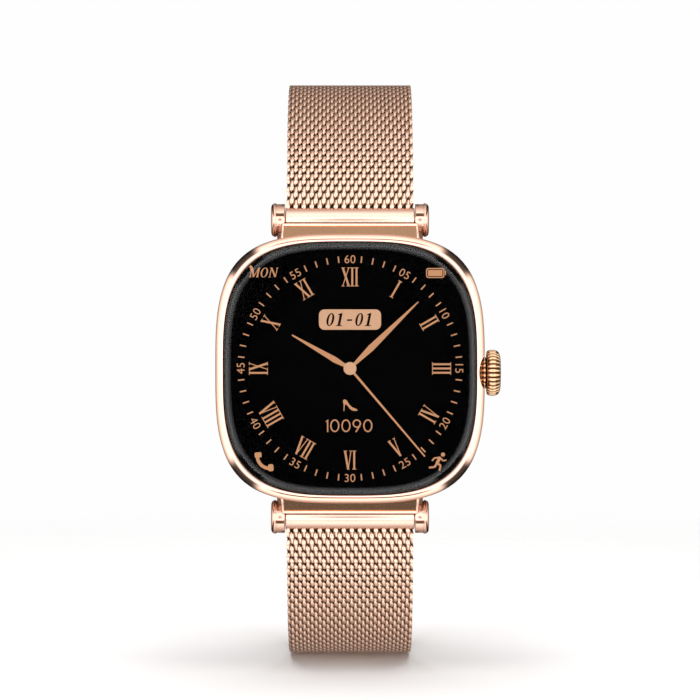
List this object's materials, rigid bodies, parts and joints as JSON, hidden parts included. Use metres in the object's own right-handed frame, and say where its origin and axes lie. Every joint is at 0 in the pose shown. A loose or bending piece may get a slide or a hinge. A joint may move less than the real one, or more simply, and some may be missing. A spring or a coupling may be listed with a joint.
{
  "type": "smartwatch",
  "caption": "Square wrist watch with a lit round dial under curved glass, a fluted press-and-turn crown, hooded lugs and a woven metal band with a magnet clasp.",
  "frame": {"origin": "centre of the flat sensor window on the back of the case, where the case lies on the wrist", "axes": "+Y from the sensor window towards the wrist, so the dial looks along -Y; +Z towards twelve o'clock; +X towards the crown"},
  "size_m": [0.0392, 0.0549, 0.0832],
  "materials": {
    "rose_case": "rose gold coating over steel, polished",
    "rose_polish": "rose gold coating over steel, mirror polished",
    "rose_dark": "rose gold coating, darker and satin",
    "rose_wire": "rose gold coated steel wire, woven",
    "cover_glass": "clear hard glass with a curved edge",
    "display": "black display under the glass",
    "sensor_glass": "dark glass",
    "back_plastic": "dark grey, fine matt",
    "dark_plastic": "moulded",
    "black_rubber": "soft",
    "board": "solder mask",
    "chip_black": "moulded package",
    "flex_print": "amber polyimide film",
    "copper": "bare copper strip",
    "battery_foil": "soft foil pouch",
    "bare_steel": "turned",
    "contact_gold": "gold plated",
    "led_green": "clear lens",
    "diode_glass": "dark lens",
    "magnet_nickel": "nickel plated"
  },
  "bodies": {
    "case": {"mid_case": "rose_case", "bezel_ring": "rose_polish", "cover_glass": "cover_glass", "glass_gasket": "black_rubber", "display_panel": "display", "display_flex": "flex_print", "inner_chassis": "dark_plastic", "main_board": "board", "board_chips": "chip_black", "battery": "battery_foil", "vibration_motor": "bare_steel", "speaker": "dark_plastic", "microphone": "contact_gold", "antenna": "copper", "sensor_board": "board", "sensor_flex": "flex_print", "heart_leds": "led_green", "photodiodes": "diode_glass", "sensor_window": "sensor_glass", "back_cover": "back_plastic", "back_gasket": "black_rubber", "back_screws": "bare_steel", "charging_contacts": "contact_gold", "charger_magnets": "bare_steel", "crown_tube": "bare_steel", "side_switch": "dark_plastic", "crown_encoder": "chip_black", "lug_upper": "rose_polish", "lug_lower": "rose_polish", "lug_screws": "bare_steel"},
    "crown_carriage": {"thrust_washer": "bare_steel"},
    "crown": {"crown_cap": "rose_polish", "crown_collar": "rose_dark", "crown_stem": "bare_steel", "crown_seal": "black_rubber"},
    "upper_strap": {"upper_tube": "rose_polish", "upper_mesh": "rose_wire", "upper_bar_sleeve": "bare_steel", "upper_fixed_tip": "bare_steel", "upper_bar_spring": "bare_steel", "upper_end_cap": "rose_dark"},
    "upper_release": {"upper_release_tip": "bare_steel"},
    "lower_strap": {"lower_tube": "rose_polish", "lower_mesh": "rose_wire", "lower_bar_sleeve": "bare_steel", "lower_fixed_tip": "bare_steel", "lower_bar_spring": "bare_steel", "lower_end_clamp": "rose_dark", "tab_hinge_pin": "bare_steel"},
    "lower_release": {"lower_release_tip": "bare_steel"},
    "clasp_tab": {"tab_shell": "rose_polish", "tab_magnets": "magnet_nickel", "tab_plate": "rose_dark"}
  },
  "joints": [
    {"name": "crown_press", "type": "slide", "parent": "case", "child": "crown_carriage", "axis": [-1, 0, 0], "range_m": [0, 0.0004], "stiffness_N_per_m": 400, "springref_m": -0.0005},
    {"name": "crown_turn", "type": "hinge", "parent": "crown_carriage", "child": "crown", "pos_m": [0.02, -0.0052, -0.0006], "axis": [1, 0, 0], "continuous": true},
    {"name": "lower_strap_swing", "type": "hinge", "parent": "case", "child": "lower_strap", "pos_m": [0, -0.0052, -0.02054], "axis": [-1, 0, 0], "range_deg": [0, 50]},
    {"name": "upper_strap_swing", "type": "hinge", "parent": "case", "child": "upper_strap", "pos_m": [0, -0.0052, 0.02054], "axis": [1, 0, 0], "range_deg": [0, 50]},
    {"name": "upper_release_slide", "type": "slide", "parent": "upper_strap", "child": "upper_release", "axis": [1, 0, 0], "range_m": [0, 0.0009], "stiffness_N_per_m": 300, "springref_m": -0.001, "deforming": ["upper_bar_spring"]},
    {"name": "lower_release_slide", "type": "slide", "parent": "lower_strap", "child": "lower_release", "axis": [1, 0, 0], "range_m": [0, 0.0009], "stiffness_N_per_m": 300, "springref_m": -0.001, "deforming": ["lower_bar_spring"]},
    {"name": "clasp_tab_lift", "type": "hinge", "parent": "lower_strap", "child": "clasp_tab", "pos_m": [0, 0.0433, -0.0022], "axis": [-1, 0, 0], "range_deg": [0, 60]}
  ],
  "couplings": [
    {"joint": "upper_strap_swing", "follows": "lower_strap_swing", "ratio": 1}
  ]
}
